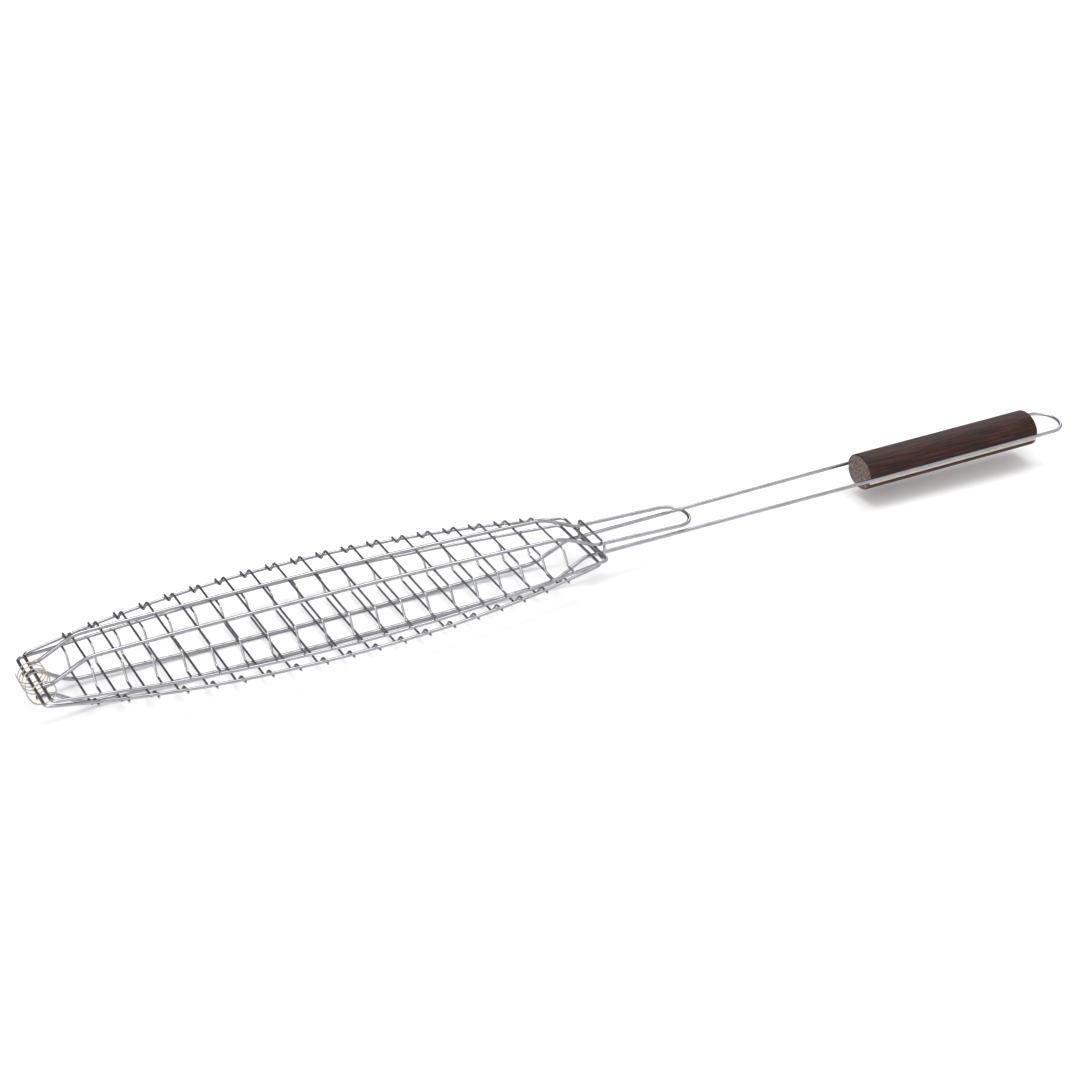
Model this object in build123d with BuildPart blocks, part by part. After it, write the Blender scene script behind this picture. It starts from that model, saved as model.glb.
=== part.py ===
"""Hinged wire grill basket for one fish: two bowed wire halves, a loose coil hinge at the nose,
a sliding latch ring at the neck and a long two-wire handle with a wooden grip.

Millimetres. +X runs from the nose to the hanging loop, +Z is up, the basket is symmetric about y = 0.
The origin is at the middle of the overall length, on the surface that the closed basket lies on.
"""
from build123d import *
from math import cos, pi, radians, sin, tan
import os

os.makedirs("parts", exist_ok=True)

# Wire stock
frame_wire = 2.4
rim_wire = 2.0
cross_wire = 1.4
ring_wire = 1.7
coil_wire = 0.7
weld_sink = 0.025

# Basket
rim_length = 361.2
upper_width = 103.2
lower_width = 95.2
nose_width = 54.8
upper_neck_width = 58.8
lower_neck_width = 55.4
crown_height = 17.9
crown_sag = 2.5
upper_rim_bow = 2.8
lower_rim_bow = 4.5
closing_gap = 0.1
upper_neck_lift = 1.35
corner_radius = 4.0

# Cross wires
cross_count = 19
cross_pitch = 17.0
upper_first_cross = 26.6
lower_first_cross = 29.2
shoulder_inset = 13.4
flange_length = 6.9
tip_overhang = 1.2
cross_bend_radius = 4.5

# Frame wires
frame_spacing = 26.3
handle_neck_spacing = 23.6
handle_grip_spacing = 27.8
end_overhang = 1.0
upper_nose_foot = 4.5
upper_nose_shoulder = 26.7
upper_neck_foot = 0.5
upper_neck_shoulder = 24.2
lower_nose_foot = 8.7
lower_nose_shoulder = 26.5
lower_neck_foot = 3.0
lower_neck_shoulder = 25.6
foot_radius = 12.0
shoulder_radius = 28.0
short_handle_length = 75.0
short_handle_drop = 1.8
long_handle_length = 384.2
long_handle_rise = 7.4

# Hinge
hinge_stagger = 4.1
coil_radius = 8.0
coil_lift = 1.0
coil_pitch = 4.0
coil_turns = 4.9
coil_start = 9.0
coil_spread = 7.5
spread_turn = 4.0
back_share = 1 / 3

# Latch ring
ring_gap = 4.3
ring_slack = 0.3
ring_side_slack = 1.0
ring_corner_radius = 2.0

# Grip
grip_start = 216.4
grip_length = 140.8
grip_width = 27.8
grip_height = 24.0
grip_edge_radius = 0.8
groove_clearance = 0.05
groove_drop = 2.2

# Path making
side_spans = 8
crown_spans = 6
coil_points = 12
gentle = 8000.0
shared_run = 0.45
end_run = 0.96

upper = 1
lower = -1

loop_end = rim_length - hinge_stagger / 2 + long_handle_length + frame_wire / 2
hinge_x = (coil_radius + coil_wire / 2 - loop_end) / 2
closing_z = crown_height + frame_wire / 2
nose_bar_height = (rim_wire + closing_gap) / 2
neck_bar_height = {upper: nose_bar_height + upper_neck_lift, lower: nose_bar_height}
frame_above_bar = (rim_wire + frame_wire) / 2 - weld_sink

rim = {
    upper: (upper_width, upper_neck_width, upper_rim_bow),
    lower: (lower_width, lower_neck_width, lower_rim_bow),
}
frame_bends = {
    upper: (upper_nose_foot, upper_nose_shoulder, upper_neck_shoulder, upper_neck_foot),
    lower: (lower_nose_foot, lower_nose_shoulder, lower_neck_shoulder, lower_neck_foot),
}


def nose_x(side):
    """The nose bar of one half. The two bars lie side by side inside the coil."""
    return hinge_x + side * hinge_stagger / 2


def neck_x(side):
    return nose_x(side) + rim_length


def at(side, x, y, height):
    """A point of one half: height is counted from the closing plane, away from the other half."""
    return Vector(x, y, closing_z + side * height)


def wire_path(points, radii):
    """Straight runs joined by tangent arcs of at most the given radii, less where runs are short."""
    runs = [after - before for before, after in zip(points, points[1:])]
    fitted = []
    for corner, wanted in enumerate(radii):
        share_before = end_run if corner == 0 else shared_run
        share_after = end_run if corner == len(radii) - 1 else shared_run
        half_turn = radians(runs[corner].get_angle(runs[corner + 1])) / 2
        room = min(share_before * runs[corner].length, share_after * runs[corner + 1].length)
        fitted.append(min(wanted, room / tan(half_turn)))
    with BuildLine() as line:
        FilletPolyline(*points, radius=fitted)
    return line.wires()[0]


def rim_path(side):
    """One side of a rim, from the middle of the nose bar to the middle of the neck bar."""
    width, neck_width, bow = rim[side]
    neck_climb = neck_bar_height[side] - nose_bar_height
    points = [at(side, nose_x(side), 0, nose_bar_height)]
    for span in range(side_spans + 1):
        along = span / side_spans
        place = 2 * along - 1
        end_width = nose_width + (neck_width - nose_width) * along
        y = (end_width + (width - end_width) * (1 - place**2)) / 2
        height = nose_bar_height + neck_climb * along + bow * (1 - abs(place) ** 3)
        points.append(at(side, nose_x(side) + rim_length * along, y, height))
    points.append(at(side, neck_x(side), 0, neck_bar_height[side]))
    return wire_path(points, [corner_radius] + [gentle] * (side_spans - 1) + [corner_radius])


def frame_path(side, neck_rise, neck_spacing, tail):
    """One leg of a frame wire, from its cut end on the nose bar to the middle of its far loop.
    neck_rise is how far the wire climbs away from the closing plane per millimetre past the neck.
    tail lists each x past the neck where the wire bends, with the spacing of its legs there."""
    nose_foot, nose_shoulder, neck_shoulder, neck_foot = frame_bends[side]
    y = frame_spacing / 2
    first = nose_x(side) + nose_shoulder
    last = neck_x(side) - neck_shoulder
    on_nose = nose_bar_height + frame_above_bar
    on_neck = neck_bar_height[side] + frame_above_bar
    points = [
        at(side, nose_x(side) - end_overhang, y, on_nose),
        at(side, nose_x(side) + nose_foot, y, on_nose),
    ]
    for span in range(crown_spans + 1):
        place = 2 * span / crown_spans - 1
        x = first + (last - first) * span / crown_spans
        points.append(at(side, x, y, crown_height - crown_sag * place**2))
    for x, spacing in [(neck_x(side) - neck_foot, neck_spacing)] + tail:
        points.append(at(side, x, spacing / 2, on_neck + neck_rise * (x - neck_x(side))))
    end_x, end_spacing = tail[-1]
    points.append(at(side, end_x, 0, on_neck + neck_rise * (end_x - neck_x(side))))
    radii = [foot_radius, shoulder_radius] + [gentle] * (crown_spans - 1)
    radii += [shoulder_radius] + [foot_radius] * len(tail) + [end_spacing / 2]
    return wire_path(points, radii)


def at_station(path, x):
    """The point and the direction of a path where it crosses the given x."""
    low, high = 0.0, 1.0
    for _ in range(30):
        middle = (low + high) / 2
        if (path @ middle).X < x:
            low = middle
        else:
            high = middle
    return path @ middle, path % middle


def cross_path(side, x, rim_line, frame_line):
    """Half of a cross wire: flat under the frame wires, down a slope, then out over the rim."""
    on_rim, _ = at_station(rim_line, x)
    on_frame, heading = at_station(frame_line, x)
    rim_level = side * (on_rim.Z - closing_z) + (rim_wire + cross_wire) / 2 - weld_sink
    frame_drop = ((frame_wire + cross_wire) / 2 - weld_sink) / heading.X
    flat_level = side * (on_frame.Z - closing_z) - frame_drop
    points = [
        at(side, x, 0, flat_level),
        at(side, x, on_rim.Y - shoulder_inset, flat_level),
        at(side, x, on_rim.Y - flange_length, rim_level),
        at(side, x, on_rim.Y + tip_overhang, rim_level),
    ]
    return wire_path(points, [cross_bend_radius] * 2)


# Rims: one closed loop of wire to each half, bowed outwards between squared ends.
upper_rim_line = rim_path(upper)
with BuildPart() as upper_rim:
    with BuildSketch(Plane(upper_rim_line @ 0, z_dir=upper_rim_line % 0)):
        Circle(rim_wire / 2)
    sweep(path=upper_rim_line)
    mirror(about=Plane.XZ)
upper_rim.part.label = "upper_rim"
export_step(upper_rim.part, "parts/upper_rim.step")

lower_rim_line = rim_path(lower)
with BuildPart() as lower_rim:
    with BuildSketch(Plane(lower_rim_line @ 0, z_dir=lower_rim_line % 0)):
        Circle(rim_wire / 2)
    sweep(path=lower_rim_line)
    mirror(about=Plane.XZ)
lower_rim.part.label = "lower_rim"
export_step(lower_rim.part, "parts/lower_rim.step")

# The upper frame wire runs nose, crown, neck, and turns back in the short handle.
short_handle_end = neck_x(upper) + short_handle_length
upper_frame_line = frame_path(
    upper,
    -short_handle_drop / short_handle_length,
    frame_spacing,
    [(short_handle_end, frame_spacing)],
)
with BuildPart() as upper_frame_wire:
    with BuildSketch(Plane(upper_frame_line @ 0, z_dir=upper_frame_line % 0)):
        Circle(frame_wire / 2)
    sweep(path=upper_frame_line)
    mirror(about=Plane.XZ)
upper_frame_wire.part.label = "upper_frame_wire"
export_step(upper_frame_wire.part, "parts/upper_frame_wire.step")

# The handle wire runs nose, crown, neck, through the grip, and turns back in the hanging loop.
# Its legs draw together at the neck and spread to the grip, and are parallel from there on.
handle_slope = long_handle_rise / long_handle_length
long_handle_end = neck_x(lower) + long_handle_length
grip_x = neck_x(lower) + grip_start
handle_line = frame_path(
    lower,
    -handle_slope,
    handle_neck_spacing,
    [(grip_x - frame_wire, handle_grip_spacing), (long_handle_end, handle_grip_spacing)],
)
with BuildPart() as handle_wire:
    with BuildSketch(Plane(handle_line @ 0, z_dir=handle_line % 0)):
        Circle(frame_wire / 2)
    sweep(path=handle_line)
    mirror(about=Plane.XZ)
handle_wire.part.label = "handle_wire"
export_step(handle_wire.part, "parts/handle_wire.step")

# Cross wires: evenly spaced, welded under the frame wires and over the rims.
halves = (
    ("upper", upper, upper_first_cross, upper_rim_line, upper_frame_line),
    ("lower", lower, lower_first_cross, lower_rim_line, handle_line),
)
for half_name, side, first_cross, rim_line, frame_line in halves:
    for number in range(cross_count):
        station = nose_x(side) + first_cross + number * cross_pitch
        cross_line = cross_path(side, station, rim_line, frame_line)
        with BuildPart() as cross:
            with BuildSketch(Plane(cross_line @ 0, z_dir=cross_line % 0)):
                Circle(cross_wire / 2)
            sweep(path=cross_line)
            mirror(about=Plane.XZ)
        cross.part.label = f"{half_name}_cross_wire_{number + 1:02d}"
        export_step(cross.part, f"parts/{cross.part.label}.step")


# Hinge coil: loose turns around both nose bars. One turn steps over the near frame wires at the
# back, where they never swing, so that its front stays clear of them on both sides.
def coil_y(turn):
    step = (turn - spread_turn) / back_share + 0.5
    step = min(max(step, 0.0), 1.0)
    return coil_start - coil_pitch * turn - coil_spread * step**2 * (3 - 2 * step)


corner_radius_of_coil = coil_radius / cos(pi / coil_points) ** 0.5
coil_corners = []
for index in range(int(coil_turns * coil_points) + 1):
    turn = index / coil_points
    angle = pi + 2 * pi * turn
    x = hinge_x + corner_radius_of_coil * cos(angle)
    z = closing_z + coil_lift + corner_radius_of_coil * sin(angle)
    coil_corners.append(Vector(x, coil_y(turn), z))
coil_line = wire_path(coil_corners, [coil_radius] * (len(coil_corners) - 2))
with BuildPart() as hinge_coil:
    with BuildSketch(Plane(coil_line @ 0, z_dir=coil_line % 0)):
        Circle(coil_wire / 2)
    sweep(path=coil_line)
hinge_coil.part.label = "hinge_coil"
export_step(hinge_coil.part, "parts/hinge_coil.step")

# Latch ring: a rectangular loop around both pairs of handle wires, square to the long handle.
handle_direction = Vector(1, 0, handle_slope)
ring_x = neck_x(upper) + ring_gap
short_leg, _ = at_station(upper_frame_line, ring_x)
long_leg, _ = at_station(handle_line, ring_x)
stack_height = short_leg.Z - long_leg.Z + frame_wire
ring_height = stack_height + 2 * ring_slack + ring_wire
ring_width = handle_grip_spacing + frame_wire + 2 * ring_side_slack + ring_wire
ring_middle = Vector(ring_x, 0, (short_leg.Z + long_leg.Z) / 2)
ring_plane = Plane(ring_middle, x_dir=(0, 1, 0), z_dir=handle_direction)
with BuildPart() as latch_ring:
    with BuildLine(ring_plane) as ring_line:
        FilletPolyline(
            (0, ring_height / 2),
            (ring_width / 2, ring_height / 2),
            (ring_width / 2, -ring_height / 2),
            (0, -ring_height / 2),
            radius=ring_corner_radius + ring_wire / 2,
        )
    ring_path = ring_line.wires()[0]
    with BuildSketch(Plane(ring_path @ 0, z_dir=ring_path % 0)):
        Circle(ring_wire / 2)
    sweep(path=ring_path)
    mirror(about=Plane.XZ)
latch_ring.part.label = "latch_ring"
export_step(latch_ring.part, "parts/latch_ring.step")

# Grip: an oval length of wood with a groove along each side. The handle wires lie along the top of
# the grooves, which are deeper below them by groove_drop.
groove_radius = frame_wire / 2 + groove_clearance
grip_leg, _ = at_station(handle_line, grip_x)
grip_end = Vector(grip_leg.X, 0, grip_leg.Z)
grip_plane = Plane(grip_end, x_dir=(0, 1, 0), z_dir=handle_direction)
with BuildPart() as grip:
    with BuildSketch(grip_plane):
        Ellipse(grip_width / 2, grip_height / 2)
    extrude(amount=grip_length)
    fillet(grip.edges().filter_by(GeomType.ELLIPSE), grip_edge_radius)
    with BuildSketch(grip_plane):
        with Locations((handle_grip_spacing / 2, 0), (-handle_grip_spacing / 2, 0)):
            Circle(groove_radius)
        with Locations(
            (handle_grip_spacing / 2, -groove_drop / 2),
            (-handle_grip_spacing / 2, -groove_drop / 2),
        ):
            Rectangle(2 * groove_radius, groove_drop)
        with Locations(
            (handle_grip_spacing / 2, -groove_drop),
            (-handle_grip_spacing / 2, -groove_drop),
        ):
            Circle(groove_radius)
    extrude(amount=grip_length, mode=Mode.SUBTRACT)
grip.part.label = "grip"
export_step(grip.part, "parts/grip.step")
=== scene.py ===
"""A fish grill basket of chromed wire, closed, lying on a pale floor: two bowed wire halves, a loose coil
hinge, a latch ring and a long handle with a wooden grip. Metres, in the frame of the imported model."""
import bmesh
import bpy
from math import asin, cos, pi, radians, sin, tan
from mathutils import Matrix, Vector


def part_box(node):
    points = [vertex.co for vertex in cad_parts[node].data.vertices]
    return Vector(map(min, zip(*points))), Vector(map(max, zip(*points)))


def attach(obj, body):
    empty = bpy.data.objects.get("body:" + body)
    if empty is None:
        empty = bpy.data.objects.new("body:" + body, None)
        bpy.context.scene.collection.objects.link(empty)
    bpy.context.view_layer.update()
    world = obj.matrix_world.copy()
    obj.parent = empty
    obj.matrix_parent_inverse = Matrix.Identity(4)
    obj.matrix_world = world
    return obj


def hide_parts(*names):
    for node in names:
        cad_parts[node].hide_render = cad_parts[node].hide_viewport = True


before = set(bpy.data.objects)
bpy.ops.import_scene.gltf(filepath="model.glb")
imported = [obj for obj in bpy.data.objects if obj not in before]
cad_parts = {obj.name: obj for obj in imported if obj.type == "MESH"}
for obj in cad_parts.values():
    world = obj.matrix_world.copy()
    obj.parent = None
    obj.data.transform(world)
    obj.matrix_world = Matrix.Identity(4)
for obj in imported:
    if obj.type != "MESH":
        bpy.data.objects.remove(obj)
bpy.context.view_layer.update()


# ---- The two rims ----
# Each half is edged by one closed loop of 2 mm steel wire, bowed outwards between its squared ends.
# Its corners are tight, and its long sides are drawn as short runs blended into one curve.
rim_diameter = 0.0020
rim_corner_radius = 0.0040
rim_bow = {"upper": 0.0028, "lower": 0.0045}
rim_mid_width = {"upper": 0.1032, "lower": 0.0952}
rim_nose_width = 0.0548
rim_neck_width = {"upper": 0.0588, "lower": 0.0554}
upper_neck_lift = 0.00135
rim_spans = 8
# Wider than any run leaves room for, so that neighbouring runs blend as roundly as they can.
blend_radius = 8.0
# The share of a run that a bend may take up: nearly all of a wire's free end, just under half elsewhere.
end_run_share = 0.96
inner_run_share = 0.45
# What shears leave at a cut end: the last bit of wire drawn in to a share of its radius.
cut_end_length = 0.0002
cut_end_radius_share = 0.75
side_of = {"upper": 1, "lower": -1}
mm = 0.001


def linear(text):
    """A colour written as six sRGB hex digits, as the linear RGBA that a shader takes."""
    parts = [int(text[place:place + 2], 16) / 255 for place in (0, 2, 4)]
    return [((part + 0.055) / 1.055) ** 2.4 if part > 0.04045 else part / 12.92 for part in parts] + [1.0]


def add_node(tree, kind, values=None, **settings):
    """Adds a node with its settings. A value that is another node's socket is linked, and any other value
    is set."""
    node = tree.nodes.new(kind)
    for name, setting in settings.items():
        setattr(node, name, setting)
    for name, value in (values or {}).items():
        if isinstance(value, bpy.types.NodeSocket):
            tree.links.new(value, node.inputs[name])
        else:
            node.inputs[name].default_value = value
    return node


def new_material(name):
    """An empty node material, with the tree that its section fills in."""
    material = bpy.data.materials.new(name)
    material.use_nodes = True
    material.node_tree.nodes.clear()
    return material, material.node_tree


def set_stops(ramp_node, stops):
    """Gives a colour ramp its stops, each a place from 0 to 1 and a colour."""
    ramp = ramp_node.color_ramp
    while len(ramp.elements) < len(stops):
        ramp.elements.new(1.0)
    for element, (place, colour) in zip(ramp.elements, stops):
        element.position = place
        element.color = linear(colour)


def plated_wire(name, bright, dull, smooth, rough, painted_dark_edge_tint, pull_mark):
    """Chrome plate on drawn wire: near-mirror metal whose sheen shifts along the wire, with the faint
    ripple that the drawing die leaves and small dull patches where the plate is thin."""
    material, tree = new_material(name)
    place = add_node(tree, "ShaderNodeTexCoord").outputs["Object"]
    patches = add_node(tree, "ShaderNodeTexNoise", {"Vector": place, "Scale": 90.0, "Detail": 4.0})
    fine = add_node(tree, "ShaderNodeTexNoise", {"Vector": place, "Scale": 0.5 / pull_mark, "Detail": 3.0})
    tint = add_node(tree, "ShaderNodeValToRGB", {"Fac": patches.outputs["Fac"]})
    set_stops(tint, [(0.32, dull), (0.6, bright)])
    sheen = add_node(tree, "ShaderNodeMapRange", {
        "Value": patches.outputs["Fac"],
        "From Min": 0.3,
        "From Max": 0.7,
        "To Min": rough,
        "To Max": smooth,
    })
    ripple = add_node(tree, "ShaderNodeBump", {
        "Height": fine.outputs["Fac"],
        "Strength": 0.22,
        "Distance": 0.05 * mm,
    })
    shader = add_node(tree, "ShaderNodeBsdfPrincipled", {
        "Base Color": tint.outputs["Color"],
        "Roughness": sheen.outputs["Result"],
        "Normal": ripple.outputs["Normal"],
        "Metallic": 1.0,
        # The edge colour is painted shade: a dark tint that darkens the grazing edges in place of the dark
        # surroundings mirrored there.
        "Specular Tint": linear(painted_dark_edge_tint),
    })
    add_node(tree, "ShaderNodeOutputMaterial", {"Surface": shader.outputs["BSDF"]})
    return material


# Chromed steel, bright drawn: silver with a cool cast. Its edges are darkened by a dark edge tint, painted
# shade standing in for the dark room that the wire mirrors.
bright_chrome = plated_wire("bright_chromed_frame_wire", "b0b0b5", "a0a0a6", 0.1, 0.2, "26262a", 0.35 * mm)


def bent_line(corners, radii, arc_step=radians(6)):
    """A wire's centre line: straight runs between the corners, each corner rounded to its radius or to
    what its runs leave room for, as points close enough together to look smooth."""
    points = [corners[0]]
    last = len(radii) - 1
    for index, wanted in enumerate(radii):
        before, corner, after = corners[index:index + 3]
        arriving = corner - before
        leaving = after - corner
        turn = arriving.angle(leaving)
        arriving_share = end_run_share if index == 0 else inner_run_share
        leaving_share = end_run_share if index == last else inner_run_share
        room = min(arriving.length * arriving_share, leaving.length * leaving_share)
        reach = min(wanted * tan(turn / 2), room)
        radius = reach / tan(turn / 2)
        start = corner - arriving.normalized() * reach
        inward = (leaving.normalized() - arriving.normalized()).normalized()
        centre = corner + inward * radius / cos(turn / 2)
        axis = arriving.cross(leaving).normalized()
        steps = max(2, round(turn / arc_step))
        arm = start - centre
        points += [centre + Matrix.Rotation(turn * step / steps, 3, axis) @ arm for step in range(steps + 1)]
    points.append(corners[-1])
    return points


def across(points):
    """The same points on the other side of the object."""
    return [Vector((point.x, -point.y, point.z)) for point in points]


def full_wire(leg):
    """An open wire, from the half that ends on the middle plane."""
    return leg + across(leg[:-1])[::-1]


def line_mesh(name, lines, closed):
    """Centre lines as a mesh of edges. The radius attribute draws in the cut ends of open lines, and a
    closed line keeps its full radius all round."""
    vertices, edges, radius = [], [], []
    for line in lines:
        first = len(vertices)
        if not closed:
            head = line[0] + (line[1] - line[0]).normalized() * cut_end_length
            tail = line[-1] + (line[-2] - line[-1]).normalized() * cut_end_length
            line = [line[0], head] + line[1:-1] + [tail, line[-1]]
        vertices += line
        edges += [(first + place, first + place + 1) for place in range(len(line) - 1)]
        shares = [1.0] * len(line)
        if closed:
            edges.append((len(vertices) - 1, first))
        else:
            shares[0] = shares[-1] = cut_end_radius_share
        radius += shares
    mesh = bpy.data.meshes.new(name)
    mesh.from_pydata(vertices, edges, [])
    mesh.attributes.new("radius", "FLOAT", "POINT").data.foreach_set("value", radius)
    return mesh


def new_socket(tree, name, kind, default=None):
    """A named input of a node group, with its value before anything sets it."""
    socket = tree.interface.new_socket(name, in_out="INPUT", socket_type=kind)
    if default is not None:
        socket.default_value = default
    return socket


def wire_drawing_tree():
    """Sweeps a round wire of one diameter along every line of a mesh and closes its cut ends."""
    tree = bpy.data.node_groups.new("wire_along_lines", "GeometryNodeTree")
    new_socket(tree, "Lines", "NodeSocketGeometry")
    new_socket(tree, "Diameter", "NodeSocketFloat", 0.002)
    new_socket(tree, "Sides", "NodeSocketInt", 16)
    new_socket(tree, "Finish", "NodeSocketMaterial")
    tree.interface.new_socket("Wire", in_out="OUTPUT", socket_type="NodeSocketGeometry")
    given = add_node(tree, "NodeGroupInput")
    half = add_node(tree, "ShaderNodeMath", {0: given.outputs["Diameter"], 1: 0.5}, operation="MULTIPLY")
    section = add_node(tree, "GeometryNodeCurvePrimitiveCircle", {
        "Resolution": given.outputs["Sides"],
        "Radius": half.outputs[0],
    })
    curve = add_node(tree, "GeometryNodeMeshToCurve", {"Mesh": given.outputs["Lines"]})
    swept = add_node(tree, "GeometryNodeCurveToMesh", {
        "Curve": curve.outputs[0],
        "Profile Curve": section.outputs[0],
        "Fill Caps": True,
    })
    smooth = add_node(tree, "GeometryNodeSetShadeSmooth", {"Geometry": swept.outputs[0]})
    real = add_node(tree, "GeometryNodeRealizeInstances", {"Geometry": smooth.outputs[0]})
    finish = add_node(tree, "GeometryNodeSetMaterial", {
        "Geometry": real.outputs[0],
        "Material": given.outputs["Finish"],
    })
    add_node(tree, "NodeGroupOutput", {"Wire": finish.outputs[0]})
    return tree


def settled(source, tree, inputs):
    """Runs a Geometry Nodes tree on an object and returns its result as a plain mesh object, its doubles
    merged and its faces turned outwards."""
    bpy.context.collection.objects.link(source)
    modifier = source.modifiers.new("made", "NODES")
    modifier.node_group = tree
    keys = {item.name: item.identifier for item in tree.interface.items_tree if item.in_out == "INPUT"}
    for name, value in inputs.items():
        modifier[keys[name]] = value
    evaluated = source.evaluated_get(bpy.context.evaluated_depsgraph_get())
    mesh = bpy.data.meshes.new_from_object(evaluated)
    source.modifiers.remove(modifier)
    spare = source.data
    source.data = mesh
    bpy.data.meshes.remove(spare)
    shape = bmesh.new()
    shape.from_mesh(mesh)
    bmesh.ops.remove_doubles(shape, verts=shape.verts, dist=1e-7)
    bmesh.ops.recalc_face_normals(shape, faces=shape.faces)
    shape.to_mesh(mesh)
    shape.free()
    mesh.name = source.name
    return source


wire_tree = wire_drawing_tree()


def draw_wire(name, lines, diameter, sides, finish, closed=False):
    """One piece of wire, or several on one body, swept along the lines."""
    source = bpy.data.objects.new(name, line_mesh(name, lines, closed))
    return settled(source, wire_tree, {"Diameter": diameter, "Sides": sides, "Finish": finish})


nose_x, neck_x, nose_bar_z = {}, {}, {}
for half, side in side_of.items():
    low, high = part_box(f"{half}_rim")
    nose_x[half] = low.x + rim_diameter / 2
    neck_x[half] = high.x - rim_diameter / 2
    nose_bar_z[half] = (low.z if side > 0 else high.z) + side * rim_diameter / 2
closing_z = (nose_bar_z["upper"] + nose_bar_z["lower"]) / 2
nose_bar_height = nose_bar_z["upper"] - closing_z
neck_bar_height = {"upper": nose_bar_height + upper_neck_lift, "lower": nose_bar_height}


def at(half, x, y, height):
    """A point of one half, its height counted from the closing plane away from the other half."""
    return Vector((x, y, closing_z + side_of[half] * height))


def rim_half(half):
    """One side of a rim, from the middle of the nose bar to the middle of the neck bar."""
    corners = [at(half, nose_x[half], 0, nose_bar_height)]
    for span in range(rim_spans + 1):
        along = span / rim_spans
        place = 2 * along - 1
        end_width = rim_nose_width + (rim_neck_width[half] - rim_nose_width) * along
        y = (end_width + (rim_mid_width[half] - end_width) * (1 - place**2)) / 2
        climb = (neck_bar_height[half] - nose_bar_height) * along
        height = nose_bar_height + climb + rim_bow[half] * (1 - abs(place) ** 3)
        corners.append(at(half, nose_x[half] + (neck_x[half] - nose_x[half]) * along, y, height))
    corners.append(at(half, neck_x[half], 0, neck_bar_height[half]))
    radii = [rim_corner_radius] + [blend_radius] * (rim_spans - 1) + [rim_corner_radius]
    return bent_line(corners, radii, arc_step=radians(1.5))


for half in side_of:
    rim_leg = rim_half(half)
    loop = rim_leg + across(rim_leg[1:-1])[::-1]
    rim = draw_wire(f"{half}_rim_wire", [loop], rim_diameter, 16, bright_chrome, closed=True)
    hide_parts(f"{half}_rim")
    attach(rim, f"{half}_half")


# ---- The frame wire of the upper half and the handle wire ----
# Two long hairpins of 2.4 mm chromed steel wire carry the halves. Each runs as two legs from its cut ends on
# the nose bar over the crown; the upper turns back in the short handle, the lower in the hanging loop.
frame_diameter = 0.0024
weld_sink = 0.000025
frame_above_bar = (rim_diameter + frame_diameter) / 2 - weld_sink
crown_sag = 0.0025
crown_spans = 6
end_overhang = 0.0010
# How far in from the nose bar the wire's foot and shoulder lie, and from the neck bar its shoulder and foot.
bends = {
    "upper": (0.0045, 0.0267, 0.0242, 0.0005),
    "lower": (0.0087, 0.0265, 0.0256, 0.0030),
}
foot_radius = 0.012
shoulder_radius = 0.028
short_handle_length = 0.075
short_handle_drop = 0.0018
long_handle_length = 0.3842
long_handle_rise = 0.0074
handle_neck_spacing = 0.0236
grip_start = 0.2164
upper_low, upper_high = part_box("upper_frame_wire")
handle_low, handle_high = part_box("handle_wire")
frame_spacing = upper_high.y - upper_low.y - frame_diameter
handle_grip_spacing = handle_high.y - handle_low.y - frame_diameter
crown_height = upper_high.z - frame_diameter / 2 - closing_z


def frame_leg(half, neck_rise, neck_spacing, tail):
    """One leg of a frame wire, from its cut end on the nose bar to the middle of its far loop. tail
    lists each x past the neck where the wire bends, with the spacing of its legs there."""
    nose_foot, nose_shoulder, neck_shoulder, neck_foot = bends[half]
    y = frame_spacing / 2
    first = nose_x[half] + nose_shoulder
    last = neck_x[half] - neck_shoulder
    on_nose = nose_bar_height + frame_above_bar
    on_neck = neck_bar_height[half] + frame_above_bar
    corners = [
        at(half, nose_x[half] - end_overhang, y, on_nose),
        at(half, nose_x[half] + nose_foot, y, on_nose),
    ]
    for span in range(crown_spans + 1):
        place = 2 * span / crown_spans - 1
        x = first + (last - first) * span / crown_spans
        corners.append(at(half, x, y, crown_height - crown_sag * place**2))
    for x, spacing in [(neck_x[half] - neck_foot, neck_spacing)] + tail:
        corners.append(at(half, x, spacing / 2, on_neck + neck_rise * (x - neck_x[half])))
    end_x, end_spacing = tail[-1]
    corners.append(at(half, end_x, 0, on_neck + neck_rise * (end_x - neck_x[half])))
    radii = [foot_radius, shoulder_radius] + [blend_radius] * (crown_spans - 1)
    radii += [shoulder_radius] + [foot_radius] * len(tail) + [end_spacing / 2]
    return bent_line(corners, radii, arc_step=radians(3))


short_handle_end = neck_x["upper"] + short_handle_length
handle_slope = long_handle_rise / long_handle_length
grip_x = neck_x["lower"] + grip_start
long_handle_end = neck_x["lower"] + long_handle_length
hairpins = {
    "upper": ("upper_frame_wire", frame_leg(
        "upper",
        -short_handle_drop / short_handle_length,
        frame_spacing,
        [(short_handle_end, frame_spacing)],
    )),
    "lower": ("handle_wire", frame_leg(
        "lower",
        -handle_slope,
        handle_neck_spacing,
        [(grip_x - frame_diameter, handle_grip_spacing), (long_handle_end, handle_grip_spacing)],
    )),
}
for half, (node, leg) in hairpins.items():
    hairpin = draw_wire(f"{node}_hairpin", [full_wire(leg)], frame_diameter, 20, bright_chrome)
    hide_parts(node)
    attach(hairpin, f"{half}_half")


# ---- The cross wires ----
# Nineteen thin chromed wires on each half, flat under the frame wires, bent down a slope and out over the
# rim, with sheared tips. They are spot-welded where they meet the frame wires and the rim.
cross_diameter = 0.0014
cross_count = 19
tip_past_rim = 0.0012
shoulder_from_rim = 0.0134
flange_from_rim = 0.0069
cross_bend_radius = 0.0045
weld_radius = 0.00078
weld_flatness = 0.62
weld_size_range = {"Min": 0.85, "Max": 1.15}
weld_turn_range = {"Min": (0.0, 0.0, 0.0), "Max": (0.0, 0.0, 2 * pi)}
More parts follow.
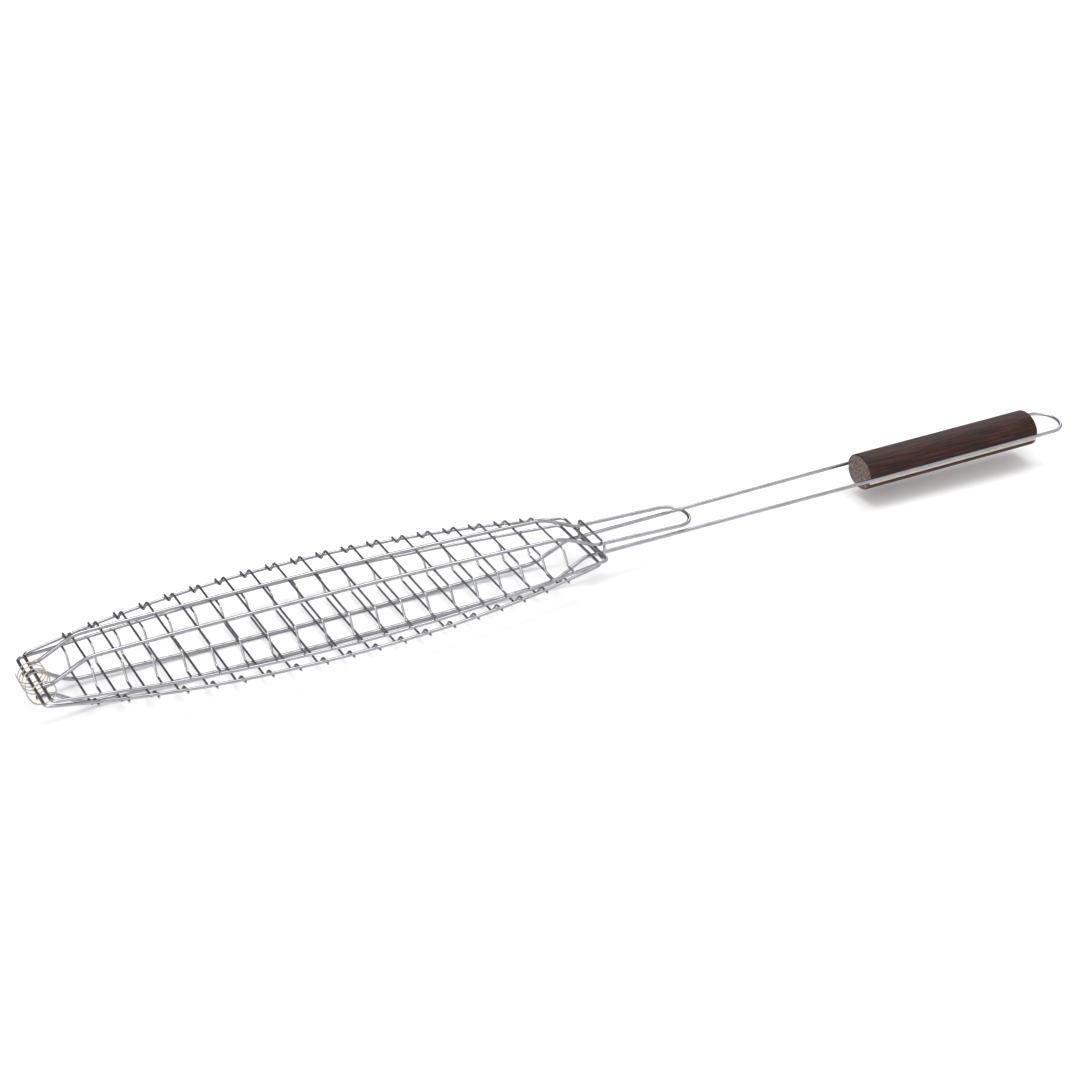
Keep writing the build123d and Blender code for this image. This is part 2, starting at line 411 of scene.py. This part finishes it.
# Thin chromed wire: a shade darker than the frame, since its plate is thinner and its draw marks closer. Its
# dark edge tint is painted shade, as on the frame.
cross_chrome = plated_wire("chromed_cross_wire", "b2b2b6", "9c9ca0", 0.12, 0.24, "2a2a2e", 0.2 * mm)


def weld_steel_with_painted_contact_shade():
    """Resistance-weld upset under chrome: a squeezed bead, dull and darkened to a brown grey, partly as heat
    tint and partly as painted contact shade where the wires cross.
    """
    material, tree = new_material("heat_tinted_weld_with_painted_contact_shade")
    place = add_node(tree, "ShaderNodeTexCoord").outputs["Object"]
    scale_marks = add_node(tree, "ShaderNodeTexNoise", {"Vector": place, "Scale": 1800.0, "Detail": 4.0})
    tint = add_node(tree, "ShaderNodeValToRGB", {"Fac": scale_marks.outputs["Fac"]})
    # Dark brown-grey stops: partly heat tint of the weld, partly painted contact shade where the wires
    # cross.
    set_stops(tint, [(0.35, "2e2926"), (0.7, "6b645f")])
    relief = add_node(tree, "ShaderNodeBump", {
        "Height": scale_marks.outputs["Fac"],
        "Strength": 0.5,
        "Distance": 0.1 * mm,
    })
    shader = add_node(tree, "ShaderNodeBsdfPrincipled", {
        "Base Color": tint.outputs["Color"],
        "Normal": relief.outputs["Normal"],
        "Metallic": 1.0,
        "Roughness": 0.42,
    })
    add_node(tree, "ShaderNodeOutputMaterial", {"Surface": shader.outputs["BSDF"]})
    return material


def weld_tree():
    """Sets a squeezed bead of weld on every point, each turned and sized a little differently."""
    tree = bpy.data.node_groups.new("weld_beads_on_points", "GeometryNodeTree")
    new_socket(tree, "Points", "NodeSocketGeometry")
    new_socket(tree, "Bead Radius", "NodeSocketFloat", 0.0007)
    new_socket(tree, "Seed", "NodeSocketInt", 3)
    new_socket(tree, "Finish", "NodeSocketMaterial")
    tree.interface.new_socket("Beads", in_out="OUTPUT", socket_type="NodeSocketGeometry")
    given = add_node(tree, "NodeGroupInput")
    bead = add_node(tree, "GeometryNodeMeshIcoSphere", {
        "Radius": given.outputs["Bead Radius"],
        "Subdivisions": 2,
    })
    squeezed = add_node(tree, "GeometryNodeTransform", {
        "Geometry": bead.outputs["Mesh"],
        "Scale": (1.0, 1.0, weld_flatness),
    })
    seed = {"Seed": given.outputs["Seed"]}
    size = add_node(tree, "FunctionNodeRandomValue", seed, data_type="FLOAT")
    turned = add_node(tree, "FunctionNodeRandomValue", seed, data_type="FLOAT_VECTOR")
    for node, kind, limits in ((size, "VALUE", weld_size_range), (turned, "VECTOR", weld_turn_range)):
        for socket in node.inputs:
            if socket.type == kind and socket.name in limits:
                socket.default_value = limits[socket.name]
    points = add_node(tree, "GeometryNodeMeshToPoints", {"Mesh": given.outputs["Points"]})
    placed = add_node(tree, "GeometryNodeInstanceOnPoints", {
        "Points": points.outputs[0],
        "Instance": squeezed.outputs[0],
        "Rotation": turned.outputs["Value"],
        "Scale": next(out for out in size.outputs if out.type == "VALUE"),
    })
    smooth = add_node(tree, "GeometryNodeSetShadeSmooth", {"Geometry": placed.outputs[0]})
    real = add_node(tree, "GeometryNodeRealizeInstances", {"Geometry": smooth.outputs[0]})
    finish = add_node(tree, "GeometryNodeSetMaterial", {
        "Geometry": real.outputs[0],
        "Material": given.outputs["Finish"],
    })
    add_node(tree, "NodeGroupOutput", {"Beads": finish.outputs[0]})
    return tree


beads = weld_tree()
weld_tint_and_painted_shade_finish = weld_steel_with_painted_contact_shade()
for half, side in side_of.items():
    nodes = [f"{half}_cross_wire_{number + 1:02d}" for number in range(cross_count)]
    lines, welds = [], []
    for node in nodes:
        low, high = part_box(node)
        x = (low.x + high.x) / 2
        rim_y = high.y - tip_past_rim
        flat_z = (high.z if side > 0 else low.z) - side * cross_diameter / 2
        flange_z = (low.z if side > 0 else high.z) + side * cross_diameter / 2
        tip = Vector((x, high.y, flange_z))
        flange = Vector((x, rim_y - flange_from_rim, flange_z))
        shoulder = Vector((x, rim_y - shoulder_from_rim, flat_z))
        line = bent_line([tip, flange, shoulder, Vector((x, 0, flat_z))], [cross_bend_radius] * 2)
        lines.append(full_wire(line))
        for y in (frame_spacing / 2, -frame_spacing / 2):
            welds.append((x, y, flat_z + side * cross_diameter / 2))
        for y in (rim_y, -rim_y):
            welds.append((x, y, flange_z - side * cross_diameter / 2))
    cross = draw_wire(f"{half}_cross_wires", lines, cross_diameter, 12, cross_chrome)
    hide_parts(*nodes)
    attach(cross, f"{half}_half")
    spots = bpy.data.meshes.new(f"{half}_weld_beads")
    spots.from_pydata(welds, [], [])
    weld = settled(bpy.data.objects.new(f"{half}_weld_beads", spots), beads, {
        "Bead Radius": weld_radius,
        "Seed": 3,
        "Finish": weld_tint_and_painted_shade_finish,
    })
    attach(weld, f"{half}_half")


# ---- The hinge coil ----
# A few loose turns of thin spring steel wire wound round both nose bars, with sheared ends. It is left
# unplated, and has the straw tint of tempering. One turn steps further along the bars than the rest.
coil_diameter = 0.0007
coil_turns = 4.9
coil_pitch = 0.0040
coil_start = 0.0090
coil_spread = 0.0075
spread_turn = 4.0
back_share = 1 / 3
coil_steps = 60
coil_low, coil_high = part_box("hinge_coil")
coil_radius = (coil_high.x - coil_low.x - coil_diameter) / 2
# Tempered spring steel: bare metal with a straw and light brown oxide tint, drawn rather than polished. Its
# dark edge tint is painted shade.
spring_steel = plated_wire("straw_tempered_spring_wire", "d2c8ba", "a3978a", 0.15, 0.3, "4c443c", 0.15 * mm)
coil_points = []
for index in range(int(coil_turns * coil_steps) + 1):
    turn = index / coil_steps
    step = min(max((turn - spread_turn) / back_share + 0.5, 0.0), 1.0)
    y = coil_start - coil_pitch * turn - coil_spread * step**2 * (3 - 2 * step)
    angle = pi + 2 * pi * turn
    x = (coil_low.x + coil_high.x) / 2 + coil_radius * cos(angle)
    z = (coil_low.z + coil_high.z) / 2 + coil_radius * sin(angle)
    coil_points.append(Vector((x, y, z)))
coil = draw_wire("hinge_coil_spring", [coil_points], coil_diameter, 10, spring_steel)
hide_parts("hinge_coil")
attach(coil, "coil")


# ---- The latch ring ----
# A rectangle of 1.7 mm chromed wire round both pairs of handle wires, bent at its four corners. It slides
# along the long handle and holds the short one down.
ring_diameter = 0.0017
ring_corner_radius = 0.0020 + ring_diameter / 2
ring_low, ring_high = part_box("latch_ring")
ring_y = ring_high.y - ring_diameter / 2
over = Vector((ring_low.x + ring_diameter / 2, 0, ring_high.z - ring_diameter / 2))
under = Vector((ring_high.x - ring_diameter / 2, 0, ring_low.z + ring_diameter / 2))
reach = Vector((0, ring_y, 0))
ring_half = bent_line([over, over + reach, under + reach, under], [ring_corner_radius] * 2)
ring = draw_wire(
    "latch_ring_wire",
    [ring_half + across(ring_half[1:-1])[::-1]],
    ring_diameter,
    16,
    bright_chrome,
    closed=True,
)
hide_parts("latch_ring")
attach(ring, "ring")


# ---- The wooden grip ----
# An oval length of dark-stained hardwood with eased ends. A round-bottomed groove is milled along each side,
# and its pale near-white colour is a painted highlight standing in for the wire's bright lower edge. The
# handle wires spring in along the top of the grooves.
grip_length = 0.1408
grip_half_width = 0.0139
grip_half_height = 0.0120
grip_edge_radius = 0.0008
groove_radius = frame_diameter / 2 + 0.00005
groove_drop = 0.0022
groove_y = handle_grip_spacing / 2
outline_steps = 64
groove_steps = 10


def dark_wood():
    """Stained hardwood under satin lacquer: near black brown along the fibres with open pores, turning
    redder and lighter towards its underside."""
    material, tree = new_material("dark_stained_hardwood")
    place = add_node(tree, "ShaderNodeTexCoord").outputs["Object"]
    fibres = add_node(tree, "ShaderNodeMapping", {"Vector": place, "Scale": (0.035, 1.0, 1.0)})
    grain = add_node(tree, "ShaderNodeTexNoise", {
        "Vector": fibres.outputs["Vector"],
        "Scale": 900.0,
        "Detail": 6.0,
        "Roughness": 0.62,
        "Distortion": 0.4,
    })
    pores = add_node(tree, "ShaderNodeTexNoise", {
        "Vector": fibres.outputs["Vector"],
        "Scale": 3200.0,
        "Detail": 2.0,
    })
    tint = add_node(tree, "ShaderNodeValToRGB", {"Fac": grain.outputs["Fac"]})
    set_stops(tint, [(0.3, "140c0b"), (0.5, "2a1814"), (0.66, "4c2a1f")])
    redder = add_node(tree, "ShaderNodeValToRGB", {"Fac": grain.outputs["Fac"]})
    set_stops(redder, [(0.3, "2a1410"), (0.5, "55291c"), (0.66, "7c4430")])
    height = add_node(tree, "ShaderNodeSeparateXYZ", {"Vector": place})
    # Blends towards the redder, lighter stops by height alone, more towards the bottom of the grip.
    low_side = add_node(tree, "ShaderNodeMapRange", {
        "Value": height.outputs["Z"],
        "From Min": grip_middle_z - 0.004,
        "From Max": grip_middle_z - 0.0105,
        "To Min": 0.0,
        "To Max": 0.85,
    })
    stain = add_node(tree, "ShaderNodeMix", {
        0: low_side.outputs["Result"],
        6: tint.outputs["Color"],
        7: redder.outputs["Color"],
    }, data_type="RGBA")
    pore_depth = add_node(tree, "ShaderNodeMapRange", {
        "Value": pores.outputs["Fac"],
        "From Min": 0.3,
        "From Max": 0.42,
    })
    relief = add_node(tree, "ShaderNodeBump", {
        "Height": pore_depth.outputs["Result"],
        "Strength": 0.45,
        "Distance": 0.08 * mm,
    })
    lacquer = add_node(tree, "ShaderNodeMapRange", {
        "Value": grain.outputs["Fac"],
        "To Min": 0.48,
        "To Max": 0.66,
    })
    shader = add_node(tree, "ShaderNodeBsdfPrincipled", {
        "Base Color": stain.outputs[2],
        "Roughness": lacquer.outputs["Result"],
        "Normal": relief.outputs["Normal"],
        "IOR": 1.42,
        "Specular IOR Level": 0.3,
    })
    add_node(tree, "ShaderNodeOutputMaterial", {"Surface": shader.outputs["BSDF"]})
    return material


def cut_wood():
    """Sawn and sanded end grain: the cut pores take the stain unevenly, in grey-brown specks."""
    material, tree = new_material("stained_end_grain")
    place = add_node(tree, "ShaderNodeTexCoord").outputs["Object"]
    cells = add_node(tree, "ShaderNodeTexVoronoi", {"Vector": place, "Scale": 1300.0})
    clouds = add_node(tree, "ShaderNodeTexNoise", {"Vector": place, "Scale": 420.0, "Detail": 5.0})
    mixed = add_node(tree, "ShaderNodeMath", {
        0: cells.outputs["Distance"],
        1: clouds.outputs["Fac"],
    }, operation="MULTIPLY")
    tint = add_node(tree, "ShaderNodeValToRGB", {"Fac": mixed.outputs[0]})
    set_stops(tint, [(0.08, "2a1d19"), (0.24, "54433c"), (0.42, "8a776c")])
    relief = add_node(tree, "ShaderNodeBump", {
        "Height": cells.outputs["Distance"],
        "Strength": 0.4,
        "Distance": 0.1 * mm,
    })
    shader = add_node(tree, "ShaderNodeBsdfPrincipled", {
        "Base Color": tint.outputs["Color"],
        "Normal": relief.outputs["Normal"],
        "Roughness": 0.62,
        "IOR": 1.5,
    })
    add_node(tree, "ShaderNodeOutputMaterial", {"Surface": shader.outputs["BSDF"]})
    return material


def groove_painted_highlight():
    """The milled groove: a pale near-white colour with cutter chatter across it, a painted highlight
    standing in for the handle wire's bright lower edge.
    """
    material, tree = new_material("groove_pale_painted_highlight")
    place = add_node(tree, "ShaderNodeTexCoord").outputs["Object"]
    fibres = add_node(tree, "ShaderNodeMapping", {"Vector": place, "Scale": (0.06, 1.0, 1.0)})
    grain = add_node(tree, "ShaderNodeTexNoise", {
        "Vector": fibres.outputs["Vector"],
        "Scale": 1500.0,
        "Detail": 4.0,
    })
    tint = add_node(tree, "ShaderNodeValToRGB", {"Fac": grain.outputs["Fac"]})
    # Near-white stops: painted highlight, not the wood's own colour.
    set_stops(tint, [(0.3, "d9cdbd"), (0.7, "efe8dc")])
    relief = add_node(tree, "ShaderNodeBump", {
        "Height": grain.outputs["Fac"],
        "Strength": 0.3,
        "Distance": 0.1 * mm,
    })
    shader = add_node(tree, "ShaderNodeBsdfPrincipled", {
        "Base Color": tint.outputs["Color"],
        "Normal": relief.outputs["Normal"],
        "Roughness": 0.55,
        "IOR": 1.5,
    })
    add_node(tree, "ShaderNodeOutputMaterial", {"Surface": shader.outputs["BSDF"]})
    return material


def oval_point(angle, inset):
    """A point of the grip's oval section, drawn in by inset, as its sideways and upward place."""
    return Vector(((grip_half_width - inset) * cos(angle), (grip_half_height - inset) * sin(angle)))


def grip_outline(inset):
    """The +Y side of the grip's section, drawn in by inset, in three runs of points: from the bottom middle
    up to the groove's lower lip, round the groove, and from its upper lip to the top middle."""
    reach_in = groove_y - groove_radius
    upper_turn = asin(min(1.0, groove_radius / (grip_half_height - inset)))
    lower_turn = asin((groove_drop + groove_radius) / (grip_half_height - inset))
    bottom = [
        oval_point(-pi / 2 + (pi / 2 - lower_turn) * step / outline_steps, inset)
        for step in range(outline_steps + 1)
    ]
    top = [
        oval_point(upper_turn + (pi / 2 - upper_turn) * step / outline_steps, inset)
        for step in range(outline_steps + 1)
    ]
    turns = [pi / 2 * step / groove_steps for step in range(groove_steps + 1)]
    groove = [
        Vector((groove_y - groove_radius * sin(turn), -groove_drop - groove_radius * cos(turn)))
        for turn in turns
    ]
    groove += [Vector((groove_y - groove_radius * cos(turn), groove_radius * sin(turn))) for turn in turns]
    outermost = max(bottom[-1].x, reach_in)
    groove = [Vector((min(point.x, outermost), point.y)) for point in groove]
    return bottom, groove, top


grip_along = Vector((1, 0, handle_slope)).normalized()
grip_up = Vector((-grip_along.z, 0, grip_along.x))
on_lower_neck = neck_bar_height["lower"] + frame_above_bar
grip_end = Vector((grip_x, 0, closing_z - on_lower_neck + handle_slope * grip_start))
grip_middle_z = (grip_end + grip_along * grip_length / 2).z
end_steps = 6
easing = [
    (grip_edge_radius * (1 - cos(turn)), grip_edge_radius * (1 - sin(turn)))
    for turn in [pi / 2 * step / end_steps for step in range(end_steps + 1)]
]
middle_steps = 40
body_length = grip_length - 2 * grip_edge_radius
stations = list(easing)
stations += [(grip_edge_radius + body_length * step / middle_steps, 0.0) for step in range(1, middle_steps)]
stations += [(grip_length - along, drawn_in) for along, drawn_in in easing[::-1]]
shape = bmesh.new()
rings = []
for along, drawn_in in stations:
    middle = grip_end + grip_along * along
    bottom, groove, top = grip_outline(drawn_in)
    near = bottom + groove + top
    far = [Vector((-point.x, point.y)) for point in near[1:-1][::-1]]
    section = near + far
    rings.append([
        shape.verts.new(middle + Vector((0, point.x, 0)) + grip_up * point.y)
        for point in section
    ])
around_count = len(rings[0])
first_near = len(bottom) - 1
first_far = len(near) + len(top) - 2
groove_faces = {first + place for first in (first_near, first_far) for place in range(len(groove) + 1)}
for before, after in zip(rings, rings[1:]):
    for place in range(around_count):
        around = (place + 1) % around_count
        face = shape.faces.new((before[place], before[around], after[around], after[place]))
        face.smooth = True
        face.material_index = 2 if place in groove_faces else 0
for section in (rings[0], rings[-1]):
    cap = shape.faces.new(section)
    cap.material_index = 1
bmesh.ops.triangulate(shape, faces=[face for face in shape.faces if len(face.verts) > 4])
bmesh.ops.recalc_face_normals(shape, faces=shape.faces)
grip_mesh = bpy.data.meshes.new("grip_wood_body")
shape.to_mesh(grip_mesh)
shape.free()
grip_mesh.materials.append(dark_wood())
grip_mesh.materials.append(cut_wood())
grip_mesh.materials.append(groove_painted_highlight())
grip = bpy.data.objects.new("grip_wood_body", grip_mesh)
bpy.context.collection.objects.link(grip)
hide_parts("grip")
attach(grip, "lower_half")


# ---- Floor, light and camera ----
# A plain matt pale floor in a pale room, a large soft light overhead with weaker ones at two sides, and a
# long lens.
floor_mesh = bpy.data.meshes.new("floor")
reach_of_floor = 8.0
floor_mesh.from_pydata(
    [(x, y, 0) for x, y in ((-1, -1), (1, -1), (1, 1), (-1, 1))],
    [],
    [(0, 1, 2, 3)],
)
for vertex in floor_mesh.vertices:
    vertex.co *= reach_of_floor
floor = bpy.data.objects.new("floor", floor_mesh)
bpy.context.collection.objects.link(floor)
paper, paper_tree = new_material("matt_white_paper")
paper_shader = add_node(paper_tree, "ShaderNodeBsdfPrincipled", {
    "Base Color": linear("f6f6f6"),
    "Roughness": 0.9,
    "Specular IOR Level": 0.1,
})
add_node(paper_tree, "ShaderNodeOutputMaterial", {"Surface": paper_shader.outputs["BSDF"]})
floor_mesh.materials.append(paper)

world = bpy.data.worlds.new("soft_room")
bpy.context.scene.world = world
world.use_nodes = True
room = world.node_tree
room.nodes.clear()
# The room is bright overhead and on the near side, and dark beyond the floor on the far side, which is
# what bright wire mirrors. The camera itself sees only a pale wall.
room_place = add_node(room, "ShaderNodeTexCoord").outputs["Generated"]
room_axes = add_node(room, "ShaderNodeSeparateXYZ", {"Vector": room_place})
far_part = add_node(room, "ShaderNodeMapRange", {
    "Value": room_axes.outputs["Y"],
    "From Min": 0.2,
    "From Max": 0.55,
}, interpolation_type="SMOOTHSTEP")
low_part = add_node(room, "ShaderNodeMapRange", {
    "Value": room_axes.outputs["Z"],
    "From Min": 0.8,
    "From Max": 0.55,
}, interpolation_type="SMOOTHSTEP")
dark_part = add_node(room, "ShaderNodeMath", {
    0: far_part.outputs["Result"],
    1: low_part.outputs["Result"],
}, operation="MULTIPLY")
seen = add_node(room, "ShaderNodeLightPath").outputs["Is Camera Ray"]
unseen_dark = add_node(room, "ShaderNodeMath", {
    0: dark_part.outputs[0],
    1: seen,
}, operation="SUBTRACT", use_clamp=True)
room_light = add_node(room, "ShaderNodeMapRange", {
    "Value": unseen_dark.outputs[0],
    "To Min": 0.9,
    "To Max": 0.16,
})
backdrop = add_node(room, "ShaderNodeBackground", {
    "Color": linear("f6f6f7"),
    "Strength": room_light.outputs["Result"],
})
add_node(room, "ShaderNodeOutputWorld", {"Surface": backdrop.outputs["Background"]})


def soft_light(name, place, size, power):
    """A rectangular soft light that faces the origin."""
    light = bpy.data.lights.new(name, "AREA")
    light.shape = "RECTANGLE"
    light.size, light.size_y = size
    light.energy = power
    lamp = bpy.data.objects.new(name, light)
    lamp.location = place
    lamp.rotation_euler = (-Vector(place)).to_track_quat("-Z", "Y").to_euler()
    bpy.context.collection.objects.link(lamp)


soft_light("overhead", place=(0.1, 0.3, 1.6), size=(1.6, 0.9), power=16)
soft_light("window_side", place=(-1.3, -0.6, 0.9), size=(0.8, 0.8), power=7)
soft_light("far_side", place=(1.2, 1.1, 0.8), size=(1.0, 0.6), power=6)

camera_place = (-0.65217, -1.11713, 0.7759)
camera_heading = radians(-28.794)
camera_below_level = radians(30.369)
camera_roll = radians(1.59)
camera_data = bpy.data.cameras.new("camera")
camera_data.lens = 77.84
camera_data.sensor_width = 36
camera = bpy.data.objects.new("camera", camera_data)
bpy.context.collection.objects.link(camera)
turn_about = Matrix.Rotation(camera_heading, 4, "Z")
tip_down = Matrix.Rotation(pi / 2 - camera_below_level, 4, "X")
roll = Matrix.Rotation(camera_roll, 4, "Z")
camera.matrix_world = Matrix.Translation(camera_place) @ turn_about @ tip_down @ roll
bpy.context.scene.camera = camera
bpy.context.scene.view_settings.view_transform = "Standard"
